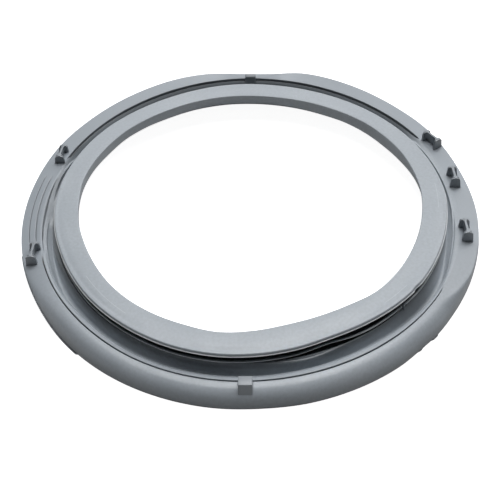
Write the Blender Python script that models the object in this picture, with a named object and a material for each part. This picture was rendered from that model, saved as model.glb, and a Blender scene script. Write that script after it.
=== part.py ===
"""Door seal of a front-loading washing machine, moulded in one piece of grey rubber.

The seal lies on its tub collar with the door side up. Z is the axis of the door opening and
the floor is z = 0. Angles run anticlockwise seen from above, 0 degrees at +X. The side with
the drain roll points to -Y (270 degrees).

The ring is a loft: a closed outline in the radius and height plane, worked out again at every
station, because the flange is flat on three sides and turns into a round roll on the fourth.
The lugs and blocks that stand on the flange are modelled apart and joined by a union.
"""

import math

import bmesh
import bpy
from mathutils import Matrix

# Lip, the flat band that the door glass closes on
OPENING_RADIUS = 0.150
LIP_HEIGHT = 0.031
LIP_WIDTH = 0.0198
LIP_THICKNESS = 0.0026
LIP_FALL = 0.0010
LIP_ROUND = 0.0012
HOOK_ROUND = 0.0024
HOOK_DEPTH = 0.0046
HOOK_THICKNESS = 0.0016

# Skirt, the wall inside the opening that carries the lip
SKIRT_DEPTH = 0.011
SKIRT_THICKNESS = 0.0028

# Fin, the thin second lip below the first
FIN_DROP = 0.0060
FIN_FALL = 0.0034
FIN_THICKNESS = 0.0012
FIN_OVERHANG = 0.0014
FIN_LIFT = 0.0030
FIN_LIFT_ANGLE = 297.0
FIN_LIFT_SPREAD = 28.0

# Fold, the bellows turn between the skirt and the channel
WALL = 0.0028
FOLD_DROP = 0.0122
FOLD_CREST = 0.0008
FOLD_OVERHANG = 0.0030
FOLD_ROUND = 0.0014
WEB_RUN = 0.0070
WEB_RISE = 0.0019

# Channel between the fold and the flange
CHANNEL_WIDTH = 0.0050
CHANNEL_FLOOR = 0.0066

# Band and groove on the inner side of the flange
BAND_WIDTH = 0.0062
BEAD_WIDTH = 0.0016
BEAD_DROP = 0.0011
VALLEY_DEPTH = 0.0008
BAND_SLANT = 0.0006
BAND_BACK_SLANT = 0.0042
GROOVE_WIDTH = 0.0011
GROOVE_DEPTH = 0.0013

# Flange, clamped to the cabinet front, and the drain roll that it turns into
FLANGE_WIDTH = 0.016
FLANGE_HEIGHT = 0.020
FLANGE_TILT = 0.005
FLANGE_DISH = 0.0015
FLANGE_DISH_TILT = 0.0035
FLANGE_DIP = 0.0030
FLANGE_DIP_ANGLE = 88.0
FLANGE_DIP_SPREAD = 15.0
EDGE_ROUND = 0.0022
ROLL_CLEARANCE = 0.0042
RIM_FACE = 0.0010
RIM_STEP = 0.0006
RIM_BEAD = 0.0014
STRIP_WIDTH = 0.0016

# Tub collar, the ring the seal stands on
COLLAR_THICKNESS = 0.0042
COLLAR_BEAD = 0.0018
COLLAR_BEAD_HEIGHT = 0.0050

# Lugs for the flange clamp
LUG_LENGTH = 0.0180
LUG_WIDTH = 0.0102
LUG_TOP_WIDTH = 0.0080
LUG_LEAN = 0.1
LUG_PLATE = 0.0030
LUG_WEB = 0.0022
LUG_CORNER = 0.0016

# Where the lugs stand: angle, distance outward from the groove, turn of the lug's length from Y,
# height
LUGS = (
    (23.2, 0.0072, 32.5, 0.0104),
    (6.9, 0.0036, 0.0, 0.0106),
    (346.8, 0.0049, 0.0, 0.0106),
    (157.8, 0.0064, 174.0, 0.0086),
    (196.3, 0.0070, 178.0, 0.0098),
)

# Blocks that mark the top and the bottom of the seal
BLOCK_WIDTH = 0.0108
BLOCK_RISE = 0.0052
FRONT_BLOCK_ANGLE = 267.9
FRONT_BLOCK_DEPTH = 0.0072
FRONT_BLOCK_DRAFT = 0.0042
BACK_BLOCK_ANGLE = 88.25
BACK_BLOCK_DEPTH = 0.0050

# The lip of the relaxed rubber isn't round: angle, spread to each side, outward shift
LIP_WAVES = (
    (18.0, 32.0, 0.0020),
    (73.0, 28.0, -0.0020),
    (152.0, 26.0, 0.0017),
    (195.0, 26.0, -0.0024),
    (256.0, 20.0, 0.0021),
    (288.0, 18.0, -0.0032),
    (317.0, 14.0, 0.0009),
)
LIP_OUTER_SHARE = 0.8

# Angles over which the flange changes: start, end, length of each change
ROLL_SPAN = (216.0, 318.0, 28.0)
FRONT_GROOVE_SPAN = (204.0, 320.0, 8.0)
BACK_GROOVE_SPAN = (34.0, 154.0, 8.0)
BACK_SLANT_SPAN = (48.0, 140.0, 22.0)
BEAD_SPAN = (205.0, 345.0, 16.0)
STRIP_SPAN = (194.0, 226.5, 1.0)

# How finely the mesh follows the shape
STATIONS = 60
EXTRA_STATIONS = (193.5, 194.5, 226.0, 227.0)
SHARP_ANGLE = 40.0
FLANGE_STEPS = 6
ROUND_STEPS = 2
UNDERSIDE_STEPS = 4
SINK = 0.0014

SEAL_COLOUR = (0.376, 0.412, 0.451, 1.0)
SEAL_ROUGHNESS = 0.55

# Places that follow from the sizes above
LIP_RADIUS = OPENING_RADIUS + LIP_WIDTH
FIN_RADIUS = LIP_RADIUS + FIN_OVERHANG
FOLD_RADIUS = LIP_RADIUS + FOLD_OVERHANG
CHANNEL_RADIUS = FOLD_RADIUS + CHANNEL_WIDTH
GROOVE_RADIUS = CHANNEL_RADIUS + BAND_WIDTH
RIM_RADIUS = GROOVE_RADIUS + FLANGE_WIDTH
SKIRT_BOTTOM = LIP_HEIGHT - SKIRT_DEPTH
COLLAR_INNER = CHANNEL_RADIUS + WALL / 2
COLLAR_OUTER = COLLAR_INNER + COLLAR_THICKNESS


def turn_from(angle, centre):
    """Smallest turn between two angles, in degrees."""
    return abs((angle - centre + 180.0) % 360.0 - 180.0)


def bump(angle, centre, spread):
    """Round hump: 1 at the centre, 0 from the spread on."""
    turn = min(turn_from(angle, centre) / spread, 1.0)
    return math.cos(turn * math.pi / 2) ** 2


def plateau(angle, span):
    """1 between the start and the end of a span, 0 outside it, smooth over its changes."""
    start, end, change = span
    middle = (start + end) / 2
    half = (end - start) / 2
    past = (turn_from(angle, middle) - half) / change + 0.5
    past = min(max(past, 0.0), 1.0)
    return 1.0 - past * past * (3.0 - 2.0 * past)


def round_off(centre, radius, start, end, steps):
    """Points on a circle arc in the radius and height plane, from start to end degrees."""
    points = []
    for step in range(steps + 1):
        turn = math.radians(start + (end - start) * step / steps)
        points.append((centre[0] + radius * math.cos(turn), centre[1] + radius * math.sin(turn)))
    return points


def groove_height(angle):
    """Height of the flange at the groove."""
    return FLANGE_HEIGHT + FLANGE_TILT * math.sin(math.radians(angle))


def ellipse_drop(share):
    """Height on a quarter ellipse, 1 at its middle and 0 at its end."""
    return math.sqrt(max(1.0 - share * share, 0.0))


def flat_height(angle, radius):
    """Top of the flange where it is flat, with its rounded outer edge."""
    share = (radius - GROOVE_RADIUS) / FLANGE_WIDTH
    dish = FLANGE_DISH_TILT * math.sin(math.radians(angle)) - FLANGE_DISH
    dip = FLANGE_DIP * bump(angle, FLANGE_DIP_ANGLE, FLANGE_DIP_SPREAD)
    into_edge = min(max((radius - RIM_RADIUS + EDGE_ROUND) / EDGE_ROUND, 0.0), 1.0)
    edge = EDGE_ROUND * (1.0 - ellipse_drop(into_edge))
    return groove_height(angle) + share * (dish - dip) - edge


def flange_height(angle, radius):
    """Top of the flange or of the drain roll at a radius."""
    share = (radius - GROOVE_RADIUS) / FLANGE_WIDTH
    roll = ROLL_CLEARANCE + (groove_height(angle) - ROLL_CLEARANCE) * ellipse_drop(share)
    amount = plateau(angle, ROLL_SPAN)
    return (1.0 - amount) * flat_height(angle, radius) + amount * roll


def flange_underside(angle, radius):
    """Underside of the flange or of the drain roll, one wall below its top."""
    inner_width = FLANGE_WIDTH - WALL
    share = (radius - GROOVE_RADIUS) / inner_width
    rise = groove_height(angle) - WALL - ROLL_CLEARANCE
    roll = ROLL_CLEARANCE + rise * ellipse_drop(share)
    flat = flat_height(angle, min(radius, RIM_RADIUS - EDGE_ROUND)) - WALL
    amount = plateau(angle, ROLL_SPAN)
    return (1.0 - amount) * flat + amount * roll


def lip_shift(angle):
    """How far the relaxed lip stands out from its circle."""
    return sum(shift * bump(angle, centre, spread) for centre, spread, shift in LIP_WAVES)


def lip_outline(angle):
    """Skirt, lip and hook, from the foot of the skirt over the top to under the lip."""
    inner = OPENING_RADIUS + lip_shift(angle)
    outer = LIP_RADIUS + LIP_OUTER_SHARE * lip_shift(angle)
    edge_top = LIP_HEIGHT - LIP_FALL
    under_edge = edge_top - LIP_THICKNESS
    points = [(inner + LIP_ROUND / 2, SKIRT_BOTTOM), (inner, SKIRT_BOTTOM + LIP_ROUND / 2)]
    points += round_off((inner + LIP_ROUND, LIP_HEIGHT - LIP_ROUND), LIP_ROUND, 180, 90, ROUND_STEPS)
    points += [((inner + outer) / 2, LIP_HEIGHT - LIP_FALL / 2)]
    points += round_off((outer - HOOK_ROUND, edge_top - HOOK_ROUND), HOOK_ROUND, 90, 0, ROUND_STEPS + 1)
    points += [(outer, edge_top - HOOK_DEPTH), (outer - HOOK_THICKNESS, edge_top - HOOK_DEPTH)]
    points += [(outer - HOOK_THICKNESS - LIP_ROUND, under_edge)]
    points += [(inner + SKIRT_THICKNESS, LIP_HEIGHT - LIP_THICKNESS)]
    return points


def fin_outline(angle):
    """Thin second lip, from its root over its tip and back."""
    root = OPENING_RADIUS + lip_shift(angle) + SKIRT_THICKNESS
    tip = FIN_RADIUS + LIP_OUTER_SHARE * lip_shift(angle)
    lift = FIN_LIFT * bump(angle, FIN_LIFT_ANGLE, FIN_LIFT_SPREAD)
    top = LIP_HEIGHT - FIN_DROP
    tip_top = top - FIN_FALL + lift
    middle = (root + tip) / 2
    middle_top = (top + tip_top) / 2
    return [
        (root, top),
        (middle, middle_top),
        (tip - FIN_THICKNESS / 2, tip_top),
        (tip, tip_top - FIN_THICKNESS / 2),
        (tip - FIN_THICKNESS / 2, tip_top - FIN_THICKNESS),
        (middle, middle_top - FIN_THICKNESS),
        (root, top - FIN_THICKNESS),
    ]


def fold_outline(angle):
    """Sloping web under the fin, crest of the fold, and the channel's inner wall and floor."""
    root = OPENING_RADIUS + lip_shift(angle) + SKIRT_THICKNESS
    crest = LIP_HEIGHT - FOLD_DROP
    floor_round = CHANNEL_WIDTH / 2
    level = crest - FOLD_CREST
    slope_end = OPENING_RADIUS + lip_shift(angle) + WEB_RUN + WALL / 3
    points = [(root, SKIRT_BOTTOM + WEB_RISE), (slope_end, level)]
    points += [(FOLD_RADIUS - 2 * FOLD_ROUND, level)]
    points += round_off((FOLD_RADIUS - FOLD_ROUND, crest - FOLD_ROUND), FOLD_ROUND, 90, 0, ROUND_STEPS)
    centre = (FOLD_RADIUS + floor_round, CHANNEL_FLOOR + floor_round)
    points += round_off(centre, floor_round, 180, 360, 2 * ROUND_STEPS)
    return points


def band_outline(angle):
    """Bead, valley, band and groove on the inner side of the flange."""
    top = groove_height(angle)
    back = plateau(angle, BACK_SLANT_SPAN)
    slant = BAND_SLANT + (BAND_BACK_SLANT - BAND_SLANT) * back
    bead = plateau(angle, BEAD_SPAN)
    grooved = max(plateau(angle, FRONT_GROOVE_SPAN), plateau(angle, BACK_GROOVE_SPAN))
    groove_inner = GROOVE_RADIUS - GROOVE_WIDTH
    band_inner = CHANNEL_RADIUS + BEAD_WIDTH
    bead_top = top - slant - BEAD_DROP * bead
    valley_floor = bead_top - VALLEY_DEPTH * bead
    return [
        (CHANNEL_RADIUS, bead_top - BEAD_WIDTH),
        (CHANNEL_RADIUS + BEAD_WIDTH / 6, bead_top - BEAD_WIDTH / 3),
        (CHANNEL_RADIUS + BEAD_WIDTH / 2, bead_top),
        (band_inner, valley_floor),
        (band_inner + VALLEY_DEPTH, top - slant),
        ((band_inner + groove_inner) / 2, top - slant / 3),
        (groove_inner, top),
        (groove_inner + GROOVE_WIDTH / 2, top - GROOVE_DEPTH * grooved),
    ]


def flange_outline(angle):
    """Top of the flange or roll from the groove to the rim, and its underside back."""
    points = []
    for step in range(FLANGE_STEPS + 1):
        radius = GROOVE_RADIUS + FLANGE_WIDTH * math.sin(math.pi / 2 * step / FLANGE_STEPS)
        points.append((radius, flange_height(angle, radius)))
    face_foot = points[-1][1] - RIM_FACE
    bead_radius = RIM_RADIUS - RIM_STEP / 3 + STRIP_WIDTH * plateau(angle, STRIP_SPAN)
    points += [(RIM_RADIUS, face_foot)]
    points += [(RIM_RADIUS - RIM_STEP, face_foot - RIM_STEP / 2)]
    points += [(bead_radius, face_foot - RIM_STEP)]
    points += [(bead_radius, face_foot - RIM_BEAD)]
    points += [(RIM_RADIUS - WALL, face_foot - RIM_BEAD)]
    inner_width = FLANGE_WIDTH - WALL
    first = math.asin((COLLAR_OUTER - GROOVE_RADIUS) / inner_width)
    last = math.pi / 2
    for step in range(UNDERSIDE_STEPS, -1, -1):
        turn = first + (last - first) * step / UNDERSIDE_STEPS
        radius = GROOVE_RADIUS + inner_width * math.sin(turn)
        points.append((radius, flange_underside(angle, radius)))
    return points


def collar_outline():
    """Tub collar with its bead, and the underside of the channel and the web."""
    under_floor = CHANNEL_FLOOR - WALL
    under_web = LIP_HEIGHT - FOLD_DROP - FOLD_CREST - WALL
    fold_inner = FOLD_RADIUS - WALL
    return [
        (COLLAR_OUTER, COLLAR_BEAD_HEIGHT + COLLAR_BEAD),
        (COLLAR_OUTER + COLLAR_BEAD, COLLAR_BEAD_HEIGHT),
        (COLLAR_OUTER + COLLAR_BEAD, COLLAR_BEAD / 2),
        (COLLAR_OUTER + COLLAR_BEAD / 2, 0.0),
        (COLLAR_INNER, 0.0),
        (COLLAR_INNER, under_floor),
        (FOLD_RADIUS + CHANNEL_WIDTH / 4, under_floor),
        (fold_inner, under_floor + WALL),
        (fold_inner, under_web - FOLD_ROUND),
        (fold_inner - FOLD_ROUND, under_web),
    ]


def seal_outline(angle):
    """Whole closed outline of the seal at one angle."""
    points = lip_outline(angle) + fin_outline(angle) + fold_outline(angle)
    points += band_outline(angle) + flange_outline(angle) + collar_outline()
    slope_end = OPENING_RADIUS + lip_shift(angle) + WEB_RUN
    points += [(slope_end, LIP_HEIGHT - FOLD_DROP - FOLD_CREST - WALL)]
    return points


def make_ring(collection, material):
    """Loft the outline round the axis into one closed ring."""
    mesh = bpy.data.meshes.new("door_seal")
    shape = bmesh.new()
    loops = []
    even = [360.0 * station / STATIONS for station in range(STATIONS)]
    for angle in sorted(even + list(EXTRA_STATIONS)):
        turn = math.radians(angle)
        loop = []
        for radius, height in seal_outline(angle):
            loop.append(shape.verts.new((radius * math.cos(turn), radius * math.sin(turn), height)))
        loops.append(loop)
    for station, loop in enumerate(loops):
        following = loops[(station + 1) % len(loops)]
        for corner in range(len(loop)):
            after = (corner + 1) % len(loop)
            shape.faces.new((loop[corner], loop[after], following[after], following[corner]))
    bmesh.ops.recalc_face_normals(shape, faces=shape.faces)
    bmesh.ops.triangulate(shape, faces=shape.faces)
    shape.to_mesh(mesh)
    shape.free()
    mesh.materials.append(material)
    mesh.shade_smooth()
    mesh.set_sharp_from_angle(angle=math.radians(SHARP_ANGLE))
    ring = bpy.data.objects.new("door_seal", mesh)
    collection.objects.link(ring)
    return ring


def flange_at(x, y):
    """Top of the flange or of the drain roll at a place seen from above."""
    return flange_height(math.degrees(math.atan2(y, x)), math.hypot(x, y))


def lug_spot(lug, across, along):
    """Place of a lug's point seen from above, across and along the lug from its middle."""
    angle, place, heading, _ = lug
    radius = GROOVE_RADIUS + place
    turn = math.radians(angle)
    facing = math.radians(heading)
    x = radius * math.cos(turn) + across * math.cos(facing) - along * math.sin(facing)
    y = radius * math.sin(turn) + across * math.sin(facing) + along * math.cos(facing)
    return x, y


def lug_foot(lug, across, along):
    """Point of a lug just under the surface of the flange."""
    x, y = lug_spot(lug, across, along)
    return x, y, flange_at(x, y) - SINK


def lug_head(lug, across, along, rise):
    """Point of a lug at a rise above the flange, moved inward by the lug's lean."""
    x, y = lug_spot(lug, across - LUG_LEAN * rise, along)
    return x, y, flange_at(*lug_spot(lug, 0.0, 0.0)) + rise


def add_prism(shape, low, high):
    """Closed prism between two outlines of the same count."""
    low = [shape.verts.new(point) for point in low]
    high = [shape.verts.new(point) for point in high]
    shape.faces.new(reversed(low))
    shape.faces.new(high)
    for corner in range(len(low)):
        after = (corner + 1) % len(low)
        shape.faces.new((low[corner], low[after], high[after], high[corner]))


def plate_loop(lug, along):
    """One face of a lug's end plate: its foot follows the flange, its top has round corners."""
    height = lug[-1]
    corner = (LUG_TOP_WIDTH / 2 - LUG_CORNER, height - LUG_CORNER)
    right = round_off(corner, LUG_CORNER, 0, 90, ROUND_STEPS)
    left = [(-across, rise) for across, rise in reversed(right)]
    loop = [lug_foot(lug, LUG_WIDTH / 2, along)]
    loop += [lug_head(lug, across, along, rise) for across, rise in right + left]
    loop += [lug_foot(lug, -LUG_WIDTH / 2, along)]
    return loop


def web_plan():
    """Plan of a lug's web: thin in the middle, flared where it meets the plates."""
    reach = (LUG_LENGTH - LUG_PLATE) / 2
    waist = reach - LUG_WEB
    right = [(LUG_WEB, -reach), (LUG_WEB / 2, -waist), (LUG_WEB / 2, waist), (LUG_WEB, reach)]
    left = [(-across, along) for across, along in reversed(right)]
    return right + left


def finish_mesh(shape, name, collection):
    """Turn a bmesh into an object of the helper collection."""
    bmesh.ops.recalc_face_normals(shape, faces=shape.faces)
    mesh = bpy.data.meshes.new(name)
    shape.to_mesh(mesh)
    shape.free()
    helper = bpy.data.objects.new(name, mesh)
    helper.display_type = "WIRE"
    helper.hide_render = True
    collection.objects.link(helper)
    return helper


def make_lug_plates(collection):
    """Both end plates of every lug."""
    shape = bmesh.new()
    between = (LUG_LENGTH - LUG_PLATE) / 2
    for lug in LUGS:
        for middle in (-between, between):
            near = plate_loop(lug, middle - LUG_PLATE / 2)
            far = plate_loop(lug, middle + LUG_PLATE / 2)
            add_prism(shape, near, far)
    return finish_mesh(shape, "lug_plates", collection)


def make_lug_webs(collection):
    """Web of every lug, from inside one plate to inside the other."""
    shape = bmesh.new()
    for lug in LUGS:
        top = lug[-1] - LUG_CORNER / 2
        foot = [lug_foot(lug, across, along) for across, along in web_plan()]
        head = [lug_head(lug, across, along, top) for across, along in web_plan()]
        add_prism(shape, foot, head)
    return finish_mesh(shape, "lug_webs", collection)


def make_block(angle, depth, draft, collection, name):
    """Marker block on the flange, from the groove outward, its outer face drafted."""
    shape = bmesh.new()
    half = BLOCK_WIDTH / 2
    outer = GROOVE_RADIUS + depth
    foot_outer = outer + draft
    top = groove_height(angle) + BLOCK_RISE
    low = flange_height(angle, foot_outer) - SINK
    foot = [(GROOVE_RADIUS, -half, low), (foot_outer, -half, low)]
    foot += [(foot_outer, half, low), (GROOVE_RADIUS, half, low)]
    head = [(GROOVE_RADIUS, -half, top), (outer, -half, top)]
    head += [(outer, half, top), (GROOVE_RADIUS, half, top)]
    add_prism(shape, foot, head)
    bmesh.ops.rotate(shape, verts=shape.verts, matrix=Matrix.Rotation(math.radians(angle), 3, "Z"))
    return finish_mesh(shape, name, collection)


def join(ring, helper):
    """Union a helper solid with the ring."""
    union = ring.modifiers.new(helper.name, "BOOLEAN")
    union.operation = "UNION"
    union.solver = "EXACT"
    union.object = helper


def make_material():
    """Grey moulded rubber."""
    material = bpy.data.materials.new("seal_rubber")
    material.use_nodes = True
    surface = material.node_tree.nodes["Principled BSDF"]
    surface.inputs["Base Color"].default_value = SEAL_COLOUR
    surface.inputs["Roughness"].default_value = SEAL_ROUGHNESS
    surface.inputs["Metallic"].default_value = 0.0
    material.diffuse_color = SEAL_COLOUR
    return material


def clear_scene():
    """Remove every object of the scene the script starts in."""
    for item in list(bpy.data.objects):
        bpy.data.objects.remove(item, do_unlink=True)


def make_collection(name):
    """New collection in the scene."""
    collection = bpy.data.collections.new(name)
    bpy.context.scene.collection.children.link(collection)
    return collection


def main():
    """Build the seal."""
    clear_scene()
    parts = make_collection("washing_machine_door_seal")
    helpers = make_collection("helpers")
    ring = make_ring(parts, make_material())
    join(ring, make_lug_plates(helpers))
    join(ring, make_lug_webs(helpers))
    front = make_block(FRONT_BLOCK_ANGLE, FRONT_BLOCK_DEPTH, FRONT_BLOCK_DRAFT, helpers, "front_block")
    join(ring, front)
    back = make_block(BACK_BLOCK_ANGLE, BACK_BLOCK_DEPTH, 0.0, helpers, "back_block")
    join(ring, back)


main()
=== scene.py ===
# %% [markdown]
# # A washing machine door seal on a photographer's table
#
# The seal is one ring of grey moulded rubber, about 400 mm across. It lies on the collar that
# normally slips over the tub, so the lip that the door glass closes on faces up.
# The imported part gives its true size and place. This lesson makes the visible ring much finer
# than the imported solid, gives it a rubber finish, and lights it like a spare part catalogue.

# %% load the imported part
import math

import bmesh
import bpy
from mathutils import Matrix, Vector


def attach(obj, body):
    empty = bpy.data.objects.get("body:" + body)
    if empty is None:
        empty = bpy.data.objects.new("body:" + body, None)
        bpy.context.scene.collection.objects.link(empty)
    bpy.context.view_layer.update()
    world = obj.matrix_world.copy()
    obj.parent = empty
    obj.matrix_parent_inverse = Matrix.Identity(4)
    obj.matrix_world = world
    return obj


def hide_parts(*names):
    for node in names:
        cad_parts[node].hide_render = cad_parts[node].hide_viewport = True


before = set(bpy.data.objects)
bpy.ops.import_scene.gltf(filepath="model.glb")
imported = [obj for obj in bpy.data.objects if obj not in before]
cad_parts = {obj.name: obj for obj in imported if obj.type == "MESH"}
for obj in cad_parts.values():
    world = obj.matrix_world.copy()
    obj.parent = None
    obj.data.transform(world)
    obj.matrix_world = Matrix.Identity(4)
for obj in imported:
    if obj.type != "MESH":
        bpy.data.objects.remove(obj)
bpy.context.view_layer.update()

# %% [markdown]
# ## Sizes
#
# A moulded ring is easiest to think about as a section: the outline that a knife would leave if
# it cut the rubber at one place. Every size below is in millimetres, measured from the axis of
# the opening or up from the table. One factor turns them into Blender's metres at the very end.

# %% sizes of the section, in millimetres
MM = 0.001
OPENING = 150.0
LIP_TOP = 31.0
LIP_EDGE = 169.8
SKIRT_FOOT = 20.0
SKIRT_WALL = 2.8
FIN_REACH = 0.7
FOLD_EDGE = 172.8
CHANNEL_EDGE = 177.8
GROOVE = 184.0
RIM = 200.0
WALL = 2.8
TRENCH = 12.5
ROLL_FOOT = 1.9
ROLL_TUCK = 0.8
ROLL_END = 0.983
ROLL_FULLNESS = 2.45

# %% [markdown]
# ## Smooth changes round the ring
#
# The section isn't the same all the way round: the flange is flat at the back and turns into a
# round drain roll at the front, and some lines run only part of the way. Small helpers describe
# such changes by angle. `hump` rises and falls once; `stretch` is 1 between two angles and fades
# out softly at both ends; `ramp` runs straight from 0 to 1 between two values. Angles run
# anticlockwise from +X, seen from above, so the front of the picture is 270 degrees.

# %% helpers for changes by angle
def turn_between(angle, centre):
    """Smallest turn between two angles, in degrees."""
    return abs((angle - centre + 180.0) % 360.0 - 180.0)


def hump(angle, centre, spread):
    """1 at the centre and 0 from the spread on."""
    turn = min(turn_between(angle, centre) / spread, 1.0)
    return math.cos(turn * math.pi / 2) ** 2


def stretch(angle, start, end, fade):
    """1 between two angles, 0 outside them, soft over the fade at each end."""
    middle = (start + end) / 2
    past = (turn_between(angle, middle) - (end - start) / 2) / fade + 0.5
    past = min(max(past, 0.0), 1.0)
    return 1.0 - past * past * (3.0 - 2.0 * past)


def ramp(value, start, end):
    """0 at the start, 1 at the end, straight between."""
    return min(max((value - start) / (end - start), 0.0), 1.0)


half_way = round(hump(100.0, 90.0, 20.0), 2)
print("a hump at its centre and at half its spread:", hump(90.0, 90.0, 20.0), half_way)

# %% [markdown]
# ## The lip of relaxed rubber
#
# A door seal that has hung on a hook or lain in a box is never quite round. Its lip wanders in
# and out by a few millimetres, and its inner edge, its outer edge, the skirt and the channel
# behind it each wander differently. Each table gives the shift outward at every ten degrees, and
# a smooth curve runs between them. Measured waves look far more like real rubber than random
# noise would.

# %% waves of the lip
LIP_INNER_WAVE = (
    1.0, 1.1, 1.4, 1.0, 0.7, -0.6, -1.6, -2.2, -2.4, -1.5, -0.5, -0.2,
    -0.1, 0.5, 1.4, 1.2, 1.2, 1.0, -0.9, -1.4, -2.4, -2.2, -1.0, -0.1,
    0.3, 0.6, 1.7, -0.6, -3.3, -3.8, -2.8, 0.0, 0.2, -0.3, -0.3, 0.1,
)
LIP_OUTER_WAVE = (
    2.2, 1.4, 0.5, -0.4, -1.3, -1.9, -2.4, -2.4, -1.9, -0.8, -0.5, -1.1,
    -1.3, -0.8, 0.1, 0.5, 0.4, 0.7, 0.2, -0.7, -1.7, -1.6, -0.8, -0.1,
    0.8, 1.7, 1.8, 0.7, -1.0, -3.0, -2.3, -0.7, 0.6, 0.6, 0.9, 1.5,
)
CHANNEL_WAVE = (
    0.0, 0.0, 0.0, 0.0, 0.0, 0.0, 0.0, 0.0, 0.0, 0.0, 0.0, 0.0,
    0.0, 0.0, 0.3, 1.0, 1.6, 0.0, -1.5, 0.2, 1.4, 2.1, 1.1, 1.3,
    1.5, 1.5, 1.1, 0.8, 0.45, 0.3, 0.4, 1.7, 3.0, 3.2, 0.8, 0.0,
)
SKIRT_WAVE = (
    4.2, 3.9, 1.7, 0.1, 0.0, -0.2, -0.9, -0.1, 0.8, 1.9, 2.9, 2.7,
    2.0, 2.7, 3.4, 2.5, 3.1, 2.6, 1.2, -0.6, -0.8, -0.7, 0.5, 1.4,
    1.7, 2.4, 2.8, 0.9, -1.7, -2.2, -1.0, 1.4, 1.6, 1.2, 1.4, 2.6,
)


def along_wave(wave, angle):
    """Smooth value of a wave table at any angle."""
    place = (angle % 360.0) / 10.0
    left = int(place)
    t = place - left
    p0, p1, p2, p3 = (wave[(left + offset) % len(wave)] for offset in (-1, 0, 1, 2))
    bend = 2 * p0 - 5 * p1 + 4 * p2 - p3
    twist = 3 * p1 - p0 - 3 * p2 + p3
    return p1 + 0.5 * t * (p2 - p0 + t * (bend + t * twist))


def lip_inner(angle):
    """Radius of the lip's inner edge."""
    return OPENING + along_wave(LIP_INNER_WAVE, angle)


def lip_outer(angle):
    """Radius of the lip's outer edge."""
    return LIP_EDGE + along_wave(LIP_OUTER_WAVE, angle)


def skirt_foot(angle):
    """Radius of the skirt at its foot."""
    return OPENING + along_wave(SKIRT_WAVE, angle)


print("lip at the front, mm:", round(lip_inner(270.0), 1), "to", round(lip_outer(270.0), 1))

# %% [markdown]
# ## Heights of the flange
#
# The flange lies a little higher at the back than at the front. At the front it becomes the
# drain roll, a quarter turn in section that is fuller than a circle. At the front right the roll
# ends by moving outward: more and more of the flange stays flat before it turns down. Two soft
# dips lie beside the block at the back. Fine lines are pressed into the flange on the left,
# between two of the lugs. The wave tables hold a centre, a spread and a rise in each row.

# %% height of the flange and of the roll
GROOVE_LEVEL = 20.0
GROOVE_TILT = 5.0
GROOVE_WAVES = (
    (222.0, 22.0, 1.4),
    (292.0, 40.0, 1.1),
    (100.0, 62.0, 2.7),
)
FLANGE_FALL = 1.5
FLANGE_TILT = 3.5
BACK_DIP = (88.0, 15.0)
BACK_DIP_DEPTH = 3.0
RIM_WAVES = (
    (66.0, 18.0, 0.6),
    (40.0, 16.0, -0.8),
    (90.0, 24.0, -3.0),
    (100.0, 62.0, -1.1),
    (80.0, 9.0, -1.2),
)
RIM_SHIFTS = (
    (13.0, 22.0, -1.8),
    (154.0, 16.0, 0.9),
    (336.5, 14.0, 1.3),
    (271.0, 12.0, -0.6),
    (311.0, 8.0, -0.8),
)
ROLL_SPAN = (210.0, 380.0, 28.0)
ROLL_STOP_SPAN = (160.0, 336.0, 20.0)
ROLL_FADE = (322.5, 337.0)
ROLL_FADE_BEND = 0.7
ROLL_FLAT_SHARE = 0.9
FINE_LINES = (187.3, 193.0)
FINE_LINE_SPAN = (166.5, 191.0, 1.5)
FINE_LINE_DEPTH = 0.9
FINE_LINE_HALF = 0.55


def groove_height(angle):
    """Height of the flange at the groove."""
    waves = sum(rise * hump(angle, centre, spread) for centre, spread, rise in GROOVE_WAVES)
    return GROOVE_LEVEL + GROOVE_TILT * math.sin(math.radians(angle)) + waves


def rim_shift(angle):
    """How far the rim stands out from its circle."""
    waves = sum(shift * hump(angle, centre, spread) for centre, spread, shift in RIM_SHIFTS)
    return waves - ROLL_TUCK * roll_share(angle)


def roll_share(angle):
    """0 where the flange is flat, 1 where it has become the drain roll."""
    return min(stretch(angle, *ROLL_SPAN), stretch(angle, *ROLL_STOP_SPAN))


def roll_start(angle):
    """Share of the flange that stays flat before the roll turns down, at the front right."""
    past = ramp(angle, *ROLL_FADE)
    return ROLL_FLAT_SHARE * math.sin(past ** ROLL_FADE_BEND * math.pi / 2)


def quarter_drop(share):
    """Drop of a quarter turn that is fuller than a circle, at a share of its reach."""
    return 1.0 - (1.0 - share ** ROLL_FULLNESS) ** (1.0 / ROLL_FULLNESS)


def flange_top(angle, radius):
    """Top of the flange or of the roll at a radius, without the pressed lines."""
    share = (radius - GROOVE) / (RIM - GROOVE)
    fall = FLANGE_TILT * math.sin(math.radians(angle)) - FLANGE_FALL
    dips = BACK_DIP_DEPTH * hump(angle, *BACK_DIP)
    waves = sum(rise * hump(angle, centre, spread) for centre, spread, rise in RIM_WAVES)
    inner = groove_height(angle)
    flat = inner + share * (fall - dips + waves)
    start = roll_start(angle)
    rolled = ramp(share, start, 1.0)
    drop = quarter_drop(rolled * ROLL_END) / quarter_drop(ROLL_END)
    level = inner + (flat - inner) * start / ROLL_FLAT_SHARE
    roll = level - (level - ROLL_FOOT) * drop
    return flat + (roll - flat) * roll_share(angle)


def pressed(angle, radius):
    """Depth of the fine lines at a place on the flange."""
    run = stretch(angle, *FINE_LINE_SPAN)
    near = sum(max(0.0, 1.0 - abs(radius - line) / FINE_LINE_HALF) for line in FINE_LINES)
    return FINE_LINE_DEPTH * run * near


print("flange at the back, mm:", round(flange_top(90.0, 192.0), 1))

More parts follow.
